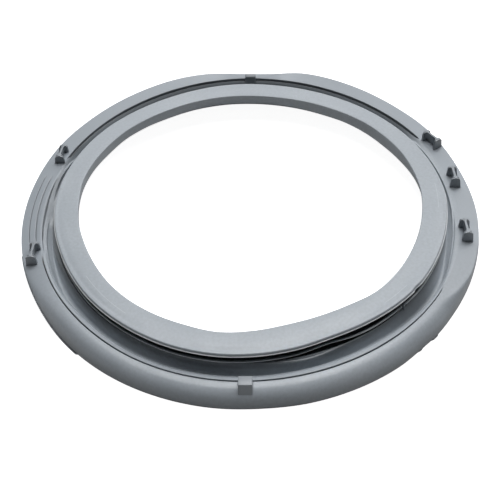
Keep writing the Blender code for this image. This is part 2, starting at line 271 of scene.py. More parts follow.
# %% [markdown]
# ## Rounding the corners of the section
#
# Rubber comes out of a mould with every corner rounded. The section is written as plain corners,
# each with its own reach of rounding, and this helper swaps each corner for a short curve. The
# number of points per corner never changes, which lets neighbouring sections be joined
# point by point.

# %% corner rounding
def round_corners(corners):
    """Closed outline with each corner (radius, height, reach, steps) turned into a curve."""
    points = []
    count = len(corners)
    for index, (r, z, reach, steps) in enumerate(corners):
        if not steps:
            points.append((r, z))
            continue
        before = Vector(corners[index - 1][:2])
        after = Vector(corners[(index + 1) % count][:2])
        corner = Vector((r, z))
        back, forth = before - corner, after - corner
        start = corner + back * min(reach / max(back.length, 1e-6), 0.49)
        end = corner + forth * min(reach / max(forth.length, 1e-6), 0.49)
        for step in range(steps + 1):
            t = step / steps
            spot = start * (1 - t) ** 2 + corner * (2 * t * (1 - t)) + end * t ** 2
            points.append((spot.x, spot.y))
    return points


rounded_square = round_corners([(0, 0, 1, 4), (9, 0, 1, 4), (9, 9, 1, 4), (0, 9, 1, 4)])
print("a rounded square has", len(rounded_square), "points")

# %% [markdown]
# ## Lip, hook and fin
#
# The lip is the flat band that the glass presses on. Its outer edge rolls down into a hook with
# a thin bead at the bottom, which catches the light. Below it a second, thinner lip, the fin,
# wipes the glass. The fin lifts away from the fold at the front right, and it has a small notch.
# The corners are listed in the order in which a pencil would draw them, anticlockwise, and each
# row holds a radius, a height, the reach of its rounding and the number of its steps.

# %% lip, hook and fin of one section
SKIRT_BEND = 25.5
LIP_THICK = 2.6
LIP_FALL = 0.3
LIP_TILT = 0.7
LIP_LIFT = (318.0, 30.0)
LIP_LIFT_RISE = 0.5
LIP_ROUNDING = 1.5
LIP_ROUNDING_CHANGE = 0.6
LIP_SWAY = 0.12
EDGE_CUT_SPAN = (318.3, 321.0, 0.8)
EDGE_CUT_FADE = (318.3, 4.0)
EDGE_CUT_DEPTH = 0.9
HOOK_DEPTH = 3.3


def lip_fall(angle):
    """How much lower the lip's outer edge is than its inner edge."""
    return LIP_FALL - LIP_TILT * math.sin(math.radians(angle))


def lip_edge_height(angle):
    """Height of the lip at its outer edge."""
    return LIP_TOP - lip_fall(angle) + LIP_LIFT_RISE * hump(angle, *LIP_LIFT)


def hook_low(angle):
    """Height of the underside of the hook."""
    return lip_edge_height(angle) - HOOK_DEPTH


def lip_corners(angle):
    """Skirt, lip and hook, from the foot of the skirt to under the lip."""
    inner = lip_inner(angle)
    foot = skirt_foot(angle)
    cut = EDGE_CUT_DEPTH * stretch(angle, *EDGE_CUT_SPAN) * hump(angle, *EDGE_CUT_FADE)
    outer = lip_outer(angle) - cut
    edge = lip_edge_height(angle)
    rounding = LIP_ROUNDING - LIP_ROUNDING_CHANGE * math.sin(math.radians(angle))
    low = hook_low(angle)
    corners = [
        (foot, SKIRT_FOOT, 0.6, 4),
        (inner + 0.4 * (foot - inner), SKIRT_BEND, 2.0, 2),
        (inner, LIP_TOP, 1.2, 6),
    ]
    for share in (0.25, 0.5, 0.75):
        sway = LIP_SWAY * math.sin(math.radians(angle * 5.0 + share * 220.0))
        height = LIP_TOP - lip_fall(angle) * share ** 2 + sway
        corners.append((inner + share * (outer - inner), height, 0, 0))
    corners += [
        (outer - rounding - 1.9, edge - 0.01, 0, 0),
        (outer - rounding - 0.4, edge + 0.1, 0.3, 2),
        (outer, edge, rounding, 9),
        (outer + 0.05, low + 1.1, 0.2, 2),
        (outer + 0.85, low + 0.95, 0.15, 3),
        (outer + 0.85, low + 0.5, 0.2, 3),
        (outer + 0.1, low, 0.3, 3),
        (outer - 1.0, low + 0.3, 0.4, 3),
        (outer - 1.8, edge - LIP_THICK, 1.2, 2),
        (inner + SKIRT_WALL, LIP_TOP - LIP_THICK, 1.2, 2),
    ]
    return corners


FIN_THICK = 1.1
FIN_ROOT_DROP = 6.4
FIN_TIP_DROP = 9.3
FIN_DIP = 18.9
FIN_DIP_FOLLOW = 0.6
FIN_PUSH = (300.5, 12.0)
FIN_LIFT = (288.5, 8.0)
FIN_SHIFT = 1.4
FIN_NOTCH = (314.0, 0.9)
FIN_NOTCH_DEPTH = 1.6


def fin_tip(angle):
    """Radius of the fin's tip."""
    return lip_outer(angle) + FIN_REACH + FIN_SHIFT * hump(angle, *FIN_PUSH)


def fin_level(angle):
    """Height of the top of the fin's tip."""
    return LIP_TOP - FIN_TIP_DROP + FIN_SHIFT * hump(angle, *FIN_LIFT)


def fin_corners(angle):
    """Thin second lip, from its root over its tip and back."""
    root = lip_inner(angle) + 0.5 * (skirt_foot(angle) - lip_inner(angle)) + SKIRT_WALL
    tip = fin_tip(angle) - FIN_NOTCH_DEPTH * hump(angle, *FIN_NOTCH)
    top = LIP_TOP - FIN_ROOT_DROP
    tip_top = fin_level(angle)
    thick = FIN_THICK
    dip = FIN_DIP + FIN_DIP_FOLLOW * (tip_top - fin_level(0.0))
    return [
        (root, top, 1.0, 3),
        (root + 7.0, dip + 0.6, 3.0, 4),
        (tip - 4.5, dip, 1.5, 3),
        (tip - 1.5, tip_top - 0.15, 0.8, 3),
        (tip, tip_top, 0.35, 4),
        (tip + 0.15, tip_top - thick, 0.4, 4),
        (tip - 1.2, tip_top - thick - 0.2, 0.6, 3),
        (tip - 4.2, dip - thick, 1.5, 2),
        (root + 6.8, dip + 0.6 - thick, 3.0, 2),
        (root, top - thick - 0.2, 0.8, 2),
    ]


print("lip points:", len(lip_corners(0.0)), "fin points:", len(fin_corners(0.0)))

# %% [markdown]
# ## Fold, channel and band
#
# Behind the fin the rubber folds over into a channel, the bellows that lets the drum shake.
# The crest of the fold carries a fine seam from the mould. Across the channel the flange begins
# with a bead and a flat band, and then a narrow groove. At the back the band is a steep slope.
# Each span below holds the two angles between which something runs, and how softly it ends.

# %% fold and channel of one section
LEFT_SIDE_SPAN = (158.0, 206.0, 26.0)
RIGHT_SIDE_SPAN = (-26.0, 26.0, 26.0)
FAR_LEFT = (179.0, 15.0)
CHANNEL_FLOOR = 6.6
SIDE_RISE = 5.6
FAR_LEFT_RISE = 6.2
FRONT_GROOVE_SPAN = (197.5, 326.0, 3.0)
BACK_SHIFT_SPAN = (20.0, 160.0, 12.0)
GROOVE_OUT = 0.55
GROOVE_BULGES = (
    (245.0, 35.0, 0.3),
    (142.0, 26.0, 0.6),
)
COVERED_SPAN = (203.0, 345.0, 14.0)
OPEN_CREST = (283.0, 13.0)
COVERED_SHIFT = 2.7
WEB_LEVEL = 18.0
CREST_LEVEL = 18.8
SEAM = (282.0, 9.0)
SEAM_DEPTH = 1.5


def shallow(angle):
    """1 at the sides of the ring, where the channel is a shallow slope, and 0 elsewhere."""
    return max(stretch(angle, *LEFT_SIDE_SPAN), stretch(angle, *RIGHT_SIDE_SPAN))


def flush(angle):
    """1 at the far left, where the channel is filled up almost to the flange."""
    return hump(angle, *FAR_LEFT)


def channel_floor(angle):
    """Height of the channel's floor."""
    return CHANNEL_FLOOR + SIDE_RISE * shallow(angle) + FAR_LEFT_RISE * flush(angle)


def channel_edge(angle):
    """Radius of the channel's outer edge."""
    return CHANNEL_EDGE + along_wave(CHANNEL_WAVE, angle)


def groove_shift(angle):
    """How far the groove lies outside its circle."""
    runs = stretch(angle, *FRONT_GROOVE_SPAN) + stretch(angle, *BACK_SHIFT_SPAN)
    bulges = sum(out * hump(angle, centre, spread) for centre, spread, out in GROOVE_BULGES)
    return GROOVE_OUT * runs + bulges


def crest_edge(angle):
    """Radius where the wall of the channel starts: further in where the fin covers the crest."""
    covered = stretch(angle, *COVERED_SPAN) * (1.0 - hump(angle, *OPEN_CREST))
    return FOLD_EDGE + 0.4 - COVERED_SHIFT * covered


def fold_corners(angle):
    """Sloping web, crest of the fold, and the channel down to its floor."""
    root = skirt_foot(angle) + SKIRT_WALL
    seam = SEAM_DEPTH * hump(angle, *SEAM)
    crest = CREST_LEVEL
    floor = channel_floor(angle)
    inner = FOLD_EDGE - 3.4
    edge = crest_edge(angle)
    width = edge - inner
    foot = FOLD_EDGE + 0.6 + 0.9 * max(channel_edge(angle) - CHANNEL_EDGE, 0.0)
    return [
        (root, SKIRT_FOOT + 1.9, 0.8, 3),
        (root + 5.1, WEB_LEVEL - 0.6, 1.0, 2),
        (root + 9.5, TRENCH, 2.0, 4),
        (inner - 2.0, TRENCH, 1.6, 4),
        (inner, crest - 0.2, 0.3, 3),
        (inner + 0.44 * width, crest, 0.1, 2),
        (inner + 0.55 * width, crest - 0.1 - seam, 0.1, 2),
        (inner + 0.66 * width, crest, 0.1, 2),
        (edge, crest - 0.2, 0.4 * width, 7),
        (0.4 * edge + 0.6 * foot, 0.5 * (crest + floor), 0, 0),
        (foot, floor, 2.2, 6),
        (channel_edge(angle) - 3.4 * shallow(angle), floor, 2.2, 6),
    ]


print("fold points:", len(fold_corners(0.0)))

# %% [markdown]
# ## Band and groove
#
# The band is written for a plain ring first, and then every corner of it is moved: the inner
# ones with the wandering edge of the channel, the outer ones with the groove. That keeps the
# band's own shape readable and still lets it follow both of its neighbours.

# %% band and groove of one section
STEEP_SPAN = (28.0, 160.0, 16.0)
BEAD_SPAN = (196.0, 352.0, 8.0)
BACK_GROOVE_SPAN = (27.5, 157.0, 3.0)
THIRD_LINE_SPAN = (168.5, 195.0, 3.0)
THIRD_LINE_DEPTH = 1.7
FRONT_GROOVE_DEPTH = 2.3
BACK_GROOVE_DEPTH = 3.4
BACK_STEP = 2.0


def band_corners(angle):
    """Bead, valley, band and groove on the inner side of the flange."""
    top = groove_height(angle)
    steep = stretch(angle, *STEEP_SPAN)
    filled = flush(angle)
    slant = 0.5 + 4.4 * steep + 1.4 * filled
    bead = stretch(angle, *BEAD_SPAN)
    behind = stretch(angle, *BACK_GROOVE_SPAN)
    step = BACK_STEP * behind * (0.4 + 0.6 * steep)
    depth = FRONT_GROOVE_DEPTH * stretch(angle, *FRONT_GROOVE_SPAN) + BACK_GROOVE_DEPTH * behind
    line = THIRD_LINE_DEPTH * stretch(angle, *THIRD_LINE_SPAN)
    inner = top - slant
    corners = [
        (CHANNEL_EDGE + 0.6 * steep, inner - step - 2.6 * (1.0 - filled) - 0.4 * bead, 0.6, 3),
        (CHANNEL_EDGE + 0.1 + 1.2 * steep, inner - step - 0.9 * bead, 0.8, 5),
        (CHANNEL_EDGE + 1.1 + 1.0 * steep, inner - step - 1.9 * bead, 0.5, 3),
        (CHANNEL_EDGE + 1.9 + 1.1 * steep, inner - step + 0.4 * steep, 0.6, 4),
        (181.1 + 0.5 * steep, top - slant * (0.45 + 0.5 * filled) - step, 0.1, 2),
        (181.5 + 0.4 * steep, top - slant * (0.32 + 0.5 * filled) - line - step, 0.1, 2),
        (181.9 + 0.3 * steep, top - slant * 0.22 - step, 0.1, 2),
        (182.8, top - step, 0.3, 3),
        (182.9, top - depth, 0.15, 2),
        (184.0, top - depth, 0.15, 2),
    ]
    reach = GROOVE - CHANNEL_EDGE
    inward, outward = channel_edge(angle) - CHANNEL_EDGE, groove_shift(angle)
    moved = []
    for r, z, rounding, steps in corners:
        share = (r - CHANNEL_EDGE) / reach
        moved.append((r + inward * (1.0 - share) + outward * share, z, rounding, steps))
    return moved


print("band points:", len(band_corners(0.0)))

# %% [markdown]
# ## Flange, drain roll and rim
#
# The flange runs from the groove out to the rim. Its points follow a quarter turn, so they crowd
# together where the roll curves down most steeply. Extra points sit on the pressed lines. Below
# the rim the mould leaves a thin lip, and at the front left a strip of it pokes out and stops.
# Each tab of that lip holds two angles, how softly it ends, and how far it pokes out.

# %% flange, rim and underside of one section
RIM_TABS = (
    (194.0, 226.2, 0.6, 1.2),
    (314.8, 316.9, 0.6, 1.0),
    (310.2, 311.2, 0.5, 0.7),
    (173.3, 174.5, 0.4, 0.9),
)
TOP_STEPS = 26
UNDER_STEPS = 8


def rim_bead(angle):
    """How far the thin lip under the rim stands out."""
    return max(width * stretch(angle, start, end, fade) for start, end, fade, width in RIM_TABS)


def flange_radii():
    """Radii of the points on the flange: a quarter turn, with more on the pressed lines."""
    radii = []
    for step in range(1, TOP_STEPS):
        radii.append(GROOVE + (RIM - GROOVE) * math.sin(math.pi / 2 * step / TOP_STEPS))
    for line in FINE_LINES:
        radii = [radius for radius in radii if abs(radius - line) > 0.7]
        radii += [line + offset for offset in (-FINE_LINE_HALF, -0.28, 0.0, 0.28, FINE_LINE_HALF)]
    return sorted(radii)


FLANGE_RADII = flange_radii()


def flange_corners(angle):
    """Top of the flange, its rim, and its underside back to the collar."""
    start = GROOVE + 0.1 + groove_shift(angle)
    corners = [(start, flange_top(angle, GROOVE), 0.2, 3)]
    rim_radius = RIM + rim_shift(angle)
    for radius in FLANGE_RADII:
        spot = start + (radius - GROOVE) * (rim_radius - start) / (RIM - GROOVE)
        corners.append((spot, flange_top(angle, radius) - pressed(angle, radius), 0, 0))
    rim = flange_top(angle, RIM)
    foot = rim - 0.7 - 1.5 * (1.0 - roll_share(angle))
    bead = rim_radius - 0.15 + rim_bead(angle)
    corners += [
        (rim_radius, rim, 0.8, 5),
        (rim_radius, foot, 0.2, 2),
        (rim_radius - 0.6, foot - 0.3, 0.2, 2),
        (bead, foot - 0.5, 0.3, 3),
        (bead, foot - 1.1, 0.4, 3),
        (RIM - WALL, foot - 1.1, 0.4, 2),
    ]
    reach = RIM - WALL - GROOVE
    for step in range(UNDER_STEPS, -1, -1):
        radius = GROOVE + reach * math.sin(math.pi / 2 * step / UNDER_STEPS)
        share = (radius - GROOVE) / reach
        bow = math.sqrt(max(1.0 - share * share, 0.0))
        roll = ROLL_FOOT - 1.0 + (groove_height(angle) - WALL - ROLL_FOOT + 1.0) * bow
        flat = flange_top(angle, radius) - WALL
        corners.append((radius, flat + (roll - flat) * roll_share(angle), 0, 0))
    return corners


print("flange points:", len(FLANGE_RADII))

# %% [markdown]
# ## Tub collar
#
# The seal stands on its collar, which slips over the neck of the tub and is held by a clamp
# ring. A rounded bead keeps that ring from sliding off. This side is hidden in the picture, so
# it is kept plain, but it is modelled, because a part on a shelf is seen from every side.

# %% collar of one section
COLLAR_INNER = 179.2
COLLAR_OUTER = 183.4
COLLAR_BEAD = 185.2
CHANNEL_UNDER = 3.8


def collar_corners(angle):
    """Collar with its bead, and the underside of the channel and of the web."""
    slope_end = skirt_foot(angle) + 7.0
    return [
        (COLLAR_OUTER, 8.5, 0, 0),
        (COLLAR_OUTER, 6.8, 0.6, 2),
        (COLLAR_BEAD, 5.0, 0.8, 3),
        (COLLAR_BEAD, 0.9, 0.8, 3),
        (COLLAR_BEAD - 0.9, 0.0, 0.5, 2),
        (COLLAR_INNER, 0.0, 0.7, 2),
        (COLLAR_INNER, CHANNEL_UNDER, 1.2, 2),
        (FOLD_EDGE - 0.2, CHANNEL_UNDER, 2.6, 3),
        (FOLD_EDGE - WALL, 7.0, 1.0, 2),
        (FOLD_EDGE - WALL, TRENCH - WALL, 1.6, 3),
        (slope_end + 5.2, TRENCH - WALL, 2.0, 3),
    ]


def section(angle):
    """Whole closed section of the seal at one angle."""
    corners = lip_corners(angle) + fin_corners(angle) + fold_corners(angle)
    corners += band_corners(angle) + flange_corners(angle) + collar_corners(angle)
    return round_corners(corners)


print("points in a section:", len(section(0.0)))

# %% [markdown]
# ## Painted shade and painted highlights
#
# Shade and highlights are painted into the colour of the ring. The hollow under the lip, the
# grooves, the pressed lines and a few shaded faces get painted shade. The thin bead of the hook
# and the tip of the fin get a painted highlight, and the flat flange gets a slightly darker painted
# shade. Painting that by hand would need an image. Here each function gives a share from 0 to 1
# for a spot of the section, and the loft stores it in the mesh, point by point, for the material
# to read. `ramp` limits each share to its place.

# %% shares of the painted shade and the painted highlights
SLOPE_SHADE = 0.35
GROOVE_SHADE = 0.9
FINE_LINE_SHADE = 0.7
DIP_SHADE = 0.22
LEFT_SHADES = ((169.0, 15.0, 0.42), (179.0, 17.0, 0.3))
RIGHT_SHADE = (319.0, 15.0, 0.45)
TURNED_SHADE = (328.0, 18.0, 0.12)
CREST_SHADE = (285.0, 14.0, 0.3)
ROLL_FOOT_SHADE = 0.3
RIM_SHADE = 0.6
FIN_SHADE = 0.6
# Strength of the painted highlight on the fin's tip.
FIN_HIGHLIGHT = 0.7
# Span of the flange that gets no painted shade.
FLANGE_SHADE_GAP = (212.0, 18.0)


def shade_at(angle, centre, spread, strength):
    """Strength of a shade that is full at its centre and gone at its spread."""
    return strength * hump(angle, centre, spread)


def hollow_share(angle, r, z):
    """Painted shade: 1 deep between lip, fin and fold, 0 on the open faces."""
    low, tip = hook_low(angle), fin_tip(angle)
    skirt_back = skirt_foot(angle) + SKIRT_WALL
    under_lip = ramp(z, low + 0.4, low - 0.1)
    over_web = ramp(z, TRENCH - 0.6, TRENCH)
    before_tip = ramp(r, tip - 0.6, tip - 2.7)
    behind_skirt = ramp(r, skirt_back - 0.4, skirt_back)
    under_tip = FIN_SHADE * ramp(z, 14.5, 18.5) * ramp(z, 19.4, 19.2)
    under_tip *= ramp(r, FOLD_EDGE + 0.5, FOLD_EDGE - 0.3) * (1.0 - hump(angle, *OPEN_CREST))
    return max(under_lip * over_web * before_tip * behind_skirt, under_tip)


def pressed_share(angle, r, z, place):
    """Painted shade, 1 in the groove and in the pressed lines; place is the distance from the
    groove.
    """
    top = groove_height(angle)
    groove = ramp(place, -1.5, -1.2) * ramp(place, 0.2, 0.1)
    groove *= ramp(z, top - 1.0, top - 1.7) * ramp(z, top - 6.0, top - 5.0)
    near = sum(ramp(abs(r - line - 0.1), 0.6, 0.1) for line in FINE_LINES)
    near += 0.8 * ramp(abs(place + 2.5), 0.9, 0.3)
    flange = flange_top(angle, max(r, GROOVE))
    lines = min(near, 1.0) * stretch(angle, *FINE_LINE_SPAN) * ramp(z, flange - 2.4, flange - 2.2)
    return max(GROOVE_SHADE * groove, FINE_LINE_SHADE * lines)


def line_share(angle, r, z):
    """Painted shade: 1 in the groove and the pressed lines, less on the faces where the shade
    falls.
    """
    place = r - groove_shift(angle) - GROOVE
    rim = flange_top(angle, RIM)
    roll = roll_share(angle)
    wall = ramp(r, 171.0, 173.0)
    on_flange = ramp(place, -0.2, 0.2)
    slope = SLOPE_SHADE * stretch(angle, *STEEP_SPAN) * ramp(z, 10.0, 12.0)
    slope *= ramp(place, -6.0, -5.0) * ramp(place, 0.2, 0.1)
    left = max(shade_at(angle, *shade) for shade in LEFT_SHADES)
    return max(
        pressed_share(angle, r, z, place),
        slope,
        DIP_SHADE * hump(angle, *BACK_DIP) * ramp(r, 194.0, 186.0) * on_flange,
        left * wall * ramp(place, -1.5, -3.0),
        shade_at(angle, *RIGHT_SHADE) * wall * ramp(place, -4.5, -6.0),
        shade_at(angle, *TURNED_SHADE) * on_flange,
        shade_at(angle, *CREST_SHADE) * ramp(r, 168.5, 169.5) * ramp(r, 173.2, 172.4),
        ROLL_FOOT_SHADE * roll * ramp(r, 194.0, 197.0) * ramp(z, 11.0, 3.5),
        RIM_SHADE * roll * ramp(r, RIM - 3.0, RIM - 2.0) * ramp(z, rim - 0.5, rim - 0.8),
    )


def highlight_share(angle, r, z):
    """Painted highlight: 1 on the thin bead of the hook and on the fin's tip, 0 elsewhere."""
    bead = math.hypot(r - lip_outer(angle) - 0.7, z - hook_low(angle) - 0.95)
    tip = math.hypot(r - fin_tip(angle), z - fin_level(angle))
    return max(ramp(bead, 0.75, 0.35), FIN_HIGHLIGHT * ramp(tip, 1.3, 0.4))


def flange_shade_share(angle, r, z):
    """Painted shade, 1 on the flat flange and 0 on the lip, the roll and a span near 212 degrees.
    """
    flat = (1.0 - roll_share(angle)) * (1.0 - hump(angle, *FLANGE_SHADE_GAP))
    return ramp(r, GROOVE - 4.0, GROOVE) * flat


print("share of dark in the groove:", round(line_share(270.0, GROOVE - 0.5, 13.0), 2))

# %% [markdown]
# ## Sweeping the section round the axis
#
# A Screw or Spin would repeat one fixed section, but this one changes as it goes. So the ring is
# lofted: the section is worked out again at every station and neighbours are joined by quads.
# Stations are crowded together where a line or a strip starts or stops. A set of angles keeps
# two stations from falling on the same place, which would leave quads without any area.

# %% make the ring
STATIONS = 300
CROWDED = (
    34.5, 153.5, 166.0, 173.2, 173.4, 174.4, 174.6, 191.5, 193.7, 194.3, 196.5, 198.5, 205.5,
    225.9, 226.1, 226.3, 226.5, 310.15, 310.35, 311.05, 311.25, 313.2, 313.6, 313.8, 314.2,
    314.4, 314.7, 314.9, 315.2, 316.7, 317.1, 318.1, 318.5, 319.5, 320.5, 325.5, 326.5,
)
SHARES = {"flange_shade": flange_shade_share, "edge_highlight": highlight_share, "line": line_share, "hollow": hollow_share}


def make_ring():
    """Loft the section into one closed ring."""
    shape = bmesh.new()
    layers = {name: shape.verts.layers.float.new(name) for name in SHARES}
    evenly = [round(360.0 * station / STATIONS, 3) for station in range(STATIONS)]
    angles = sorted({*evenly, *CROWDED})
    loops = []
    for angle in angles:
        turn = math.radians(angle)
        across, ahead = math.cos(turn) * MM, math.sin(turn) * MM
        loop = []
        for r, z in section(angle):
            point = shape.verts.new((r * across, r * ahead, z * MM))
            for name, share in SHARES.items():
                point[layers[name]] = share(angle, r, z)
            loop.append(point)
        loops.append(loop)
    for index, loop in enumerate(loops):
        following = loops[(index + 1) % len(loops)]
        for corner in range(len(loop)):
            after = (corner + 1) % len(loop)
            shape.faces.new((loop[corner], loop[after], following[after], following[corner]))
    bmesh.ops.recalc_face_normals(shape, faces=shape.faces)
    mesh = bpy.data.meshes.new("seal_ring")
    shape.to_mesh(mesh)
    shape.free()
    mesh.shade_smooth()
    ring = bpy.data.objects.new("seal_ring", mesh)
    bpy.context.scene.collection.objects.link(ring)
    return ring


seal_ring = make_ring()
print("ring:", len(seal_ring.data.polygons), "quads")

# %% [markdown]
# ## Clamp lugs
#
# Five lugs stand on the flange, and the clamp ring is hooked under them. Each is two tapered
# plates with a waisted web between them, like a small I beam. The table gives every lug its name,
# its angle and radius on the ring, the way it faces, and its height. The flange isn't level, so
# the foot of a lug follows it point by point and its top stays flat.

# %% lug sizes and places
LUG_LENGTH = 17.6
LUG_PLATE = 2.1
LUG_WIDTH = 10.2
LUG_TOP_WIDTH = 8.0
LUG_WEB = 1.8
LUG_FLARE = 2.6
LUG_CORNER = 2.6
LUG_ARCH = 0.5
LUG_LEAN = 0.1
LUG_SINK = 1.5
LUGS = (
    ("clamp_lug_back_right", 23.2, 191.2, 32.5, 10.4),
    ("clamp_lug_right", 6.9, 187.6, 0.0, 10.6),
    ("clamp_lug_front_right", 346.8, 188.9, 0.0, 10.6),
    ("clamp_lug_back_left", 157.8, 190.4, 174.0, 8.6),
    ("clamp_lug_left", 196.3, 191.0, 178.0, 9.8),
)


def lug_spot(place, across, along):
    """Spot on the table plane, from the middle of a lug."""
    angle, radius, heading = place
    turn, facing = math.radians(angle), math.radians(heading)
    x = radius * math.cos(turn) + across * math.cos(facing) - along * math.sin(facing)
    y = radius * math.sin(turn) + across * math.sin(facing) + along * math.cos(facing)
    return x, y


def surface_under(x, y):
    """Height of the flange under a spot."""
    return flange_top(math.degrees(math.atan2(y, x)) % 360.0, math.hypot(x, y))


def lug_point(place, across, along, rise):
    """Point of a lug: a rise of None lies just under the flange."""
    if rise is None:
        x, y = lug_spot(place, across, along)
        return Vector((x, y, surface_under(x, y) - LUG_SINK)) * MM
    x, y = lug_spot(place, across - LUG_LEAN * rise, along)
    return Vector((x, y, surface_under(*lug_spot(place, 0.0, 0.0)) + rise)) * MM


print("lugs:", [name for name, *_ in LUGS])

# %% [markdown]
# ## Building a lug from prisms
#
# The plates and the web are simple prisms: one outline low, one high, and walls between. A
# Boolean union makes them one solid, and a bevel then softens every edge and the inside corners,
# as the mould would. Modelling the web's flare by hand with loop cuts would take far longer and
# would be harder to change.

# %% build the lugs
LUG_CORNER_STEPS = 6
WEB_STEPS = 12
WEB_OVERLAP = 0.3
LUG_BEVEL = 0.4
BLOCK_BEVEL = 0.5
NIB_BEVEL = 0.15
BEVEL_ANGLE = math.radians(38)


def prism(name, low, high):
    """Object made of two matching outlines joined by walls."""
    shape = bmesh.new()
    low = [shape.verts.new(point) for point in low]
    high = [shape.verts.new(point) for point in high]
    shape.faces.new(reversed(low))
    shape.faces.new(high)
    for corner in range(len(low)):
        after = (corner + 1) % len(low)
        shape.faces.new((low[corner], low[after], high[after], high[corner]))
    bmesh.ops.recalc_face_normals(shape, faces=shape.faces)
    mesh = bpy.data.meshes.new(name)
    shape.to_mesh(mesh)
    shape.free()
    solid = bpy.data.objects.new(name, mesh)
    bpy.context.scene.collection.objects.link(solid)
    return solid


def plate_outline(place, height, along):
    """Face of an end plate: foot on the flange, round upper corners."""
    corner = Vector((LUG_TOP_WIDTH / 2 - LUG_CORNER, height - LUG_ARCH - LUG_CORNER))
    arc = []
    for step in range(LUG_CORNER_STEPS + 1):
        turn = math.pi / 2 * step / LUG_CORNER_STEPS
        arc.append((corner.x + LUG_CORNER * math.cos(turn), corner.y + LUG_CORNER * math.sin(turn)))
    profile = [(LUG_WIDTH / 2, None)] + arc + [(1.0, height - 0.1)]
    profile += [(-across, rise) for across, rise in reversed(profile)]
    return [lug_point(place, across, along, rise) for across, rise in profile]


def web_plan():
    """Plan of the web, waisted in the middle and flared at the plates."""
    reach = LUG_LENGTH / 2 - LUG_PLATE + WEB_OVERLAP
    side = []
    for step in range(2 * WEB_STEPS + 1):
        along = reach * (step / WEB_STEPS - 1.0)
        near = max(0.0, 1.0 - (reach - abs(along)) / LUG_FLARE)
        side.append((LUG_WEB / 2 + LUG_FLARE * (1.0 - math.sqrt(1.0 - 0.95 * near * near)), along))
    return side + [(-across, along) for across, along in reversed(side)]


def soften(solid, width):
    """Round the edges of a solid with a bevel and apply every modifier."""
    bevel = solid.modifiers.new("soft_edges", "BEVEL")
    bevel.width = width * MM
    bevel.segments = 3
    bevel.limit_method = "ANGLE"
    bevel.angle_limit = BEVEL_ANGLE
    bevel.use_clamp_overlap = True
    graph = bpy.context.evaluated_depsgraph_get()
    final = bpy.data.meshes.new_from_object(solid.evaluated_get(graph))
    solid.modifiers.clear()
    solid.data = final
    final.shade_smooth()


def make_lug(name, angle, radius, heading, height):
    """One clamp lug: two plates and a web in one solid."""
    place = (angle, radius, heading)
    reach = LUG_LENGTH / 2
    pieces = []
    for start, end in ((-reach, LUG_PLATE - reach), (reach - LUG_PLATE, reach)):
        near = plate_outline(place, height, start)
        far = plate_outline(place, height, end)
        pieces.append(prism(name + "_plate", near, far))
    low = [lug_point(place, across, along, None) for across, along in web_plan()]
    high = [lug_point(place, across, along, height - 0.25) for across, along in web_plan()]
    lug = prism(name, low, high)
    for piece in pieces:
        union = lug.modifiers.new("union", "BOOLEAN")
        union.operation = "UNION"
        union.solver = "EXACT"
        union.object = piece
    soften(lug, LUG_BEVEL)
    for piece in pieces:
        bpy.data.objects.remove(piece)
    return lug


lugs = [make_lug(*details) for details in LUGS]
print("lug faces:", [len(lug.data.polygons) for lug in lugs])

# %% [markdown]
# ## Marker blocks
#
# Two blocks show the fitter which way up the seal goes: one at the top of the door, and one at
# the bottom, above the drain. The front one has a drafted outer face, so that it left the mould
# easily. They are prisms too, softened in the same way. The table gives each its name, angle,
# inner and outer radius, draft, width, inner and outer height of the top, and how much deeper its
# inner edge reaches.

# %% build the blocks
BLOCKS = (
    ("marker_block_front", 267.9, 183.2, 191.2, 3.4, 10.6, 20.8, 20.8, 0.0),
    ("marker_block_back", 88.25, 181.9, 185.4, 0.0, 10.9, 30.6, 32.7, 6.0),
)


def make_block(name, angle, inner, outer, draft, width, inner_top, outer_top, sink):
    """Marker block on the flange, between two radii."""
    foot = outer + draft
    low = flange_top(angle, foot) - LUG_SINK
    half = width / 2
    matrix = Matrix.Rotation(math.radians(angle), 4, "Z") @ Matrix.Scale(MM, 4)
    plan = ((foot, low - sink, low), (outer, inner_top, outer_top))
    loops = []
    for out, inner_z, out_z in plan:
        near_side = [(inner, -half, inner_z), (out, -half, out_z)]
        far_side = [(out, half, out_z), (inner, half, inner_z)]
        loops.append([matrix @ Vector(corner) for corner in near_side + far_side])
    block = prism(name, *loops)
    soften(block, BLOCK_BEVEL)
    return block


blocks = [make_block(*details) for details in BLOCKS]
print("blocks:", [block.name for block in blocks])

# %% [markdown]
# ## The nib in the fin's notch
#
# A small nib stands in the notch of the fin, left by the mould's gate. It is a tiny tapered post,
# so small that it is only a glint in the picture, but it breaks the long line of the fin.

# %% build the nib
NIB_ANGLE = 313.9
NIB_INNER = 169.4
NIB_OUTER = 171.4
NIB_HALF = 0.45
NIB_FOOT = 17.6
NIB_TOP = 22.6
NIB_DRAFT = 0.2


def make_nib():
    """Small post between the fold and the fin."""
    matrix = Matrix.Rotation(math.radians(NIB_ANGLE), 4, "Z") @ Matrix.Scale(MM, 4)
    loops = []
    for height, grow in ((NIB_FOOT, NIB_DRAFT), (NIB_TOP, 0.0)):
        inner, outer, half = NIB_INNER - grow, NIB_OUTER + grow, NIB_HALF + grow
        corners = ((inner, -half), (outer, -half), (outer, half), (inner, half))
        loops.append([matrix @ Vector((r, side, height)) for r, side in corners])
    nib = prism("fin_nib", *loops)
    soften(nib, NIB_BEVEL)
    return nib


nib = make_nib()
print("nib faces:", len(nib.data.polygons))

# %% [markdown]
# ## Grey rubber
#
# Moulded rubber has one colour, but it is never flat. It has a very fine grain from the mould, a
# slow drift between lighter and darker patches where talc stays on it, and a soft sheen. Noise
# textures in object space give all three. Bump is kept tiny, because the shape is in the mesh.
# The next cell only holds helpers, which add a node, set it and hand on its output.

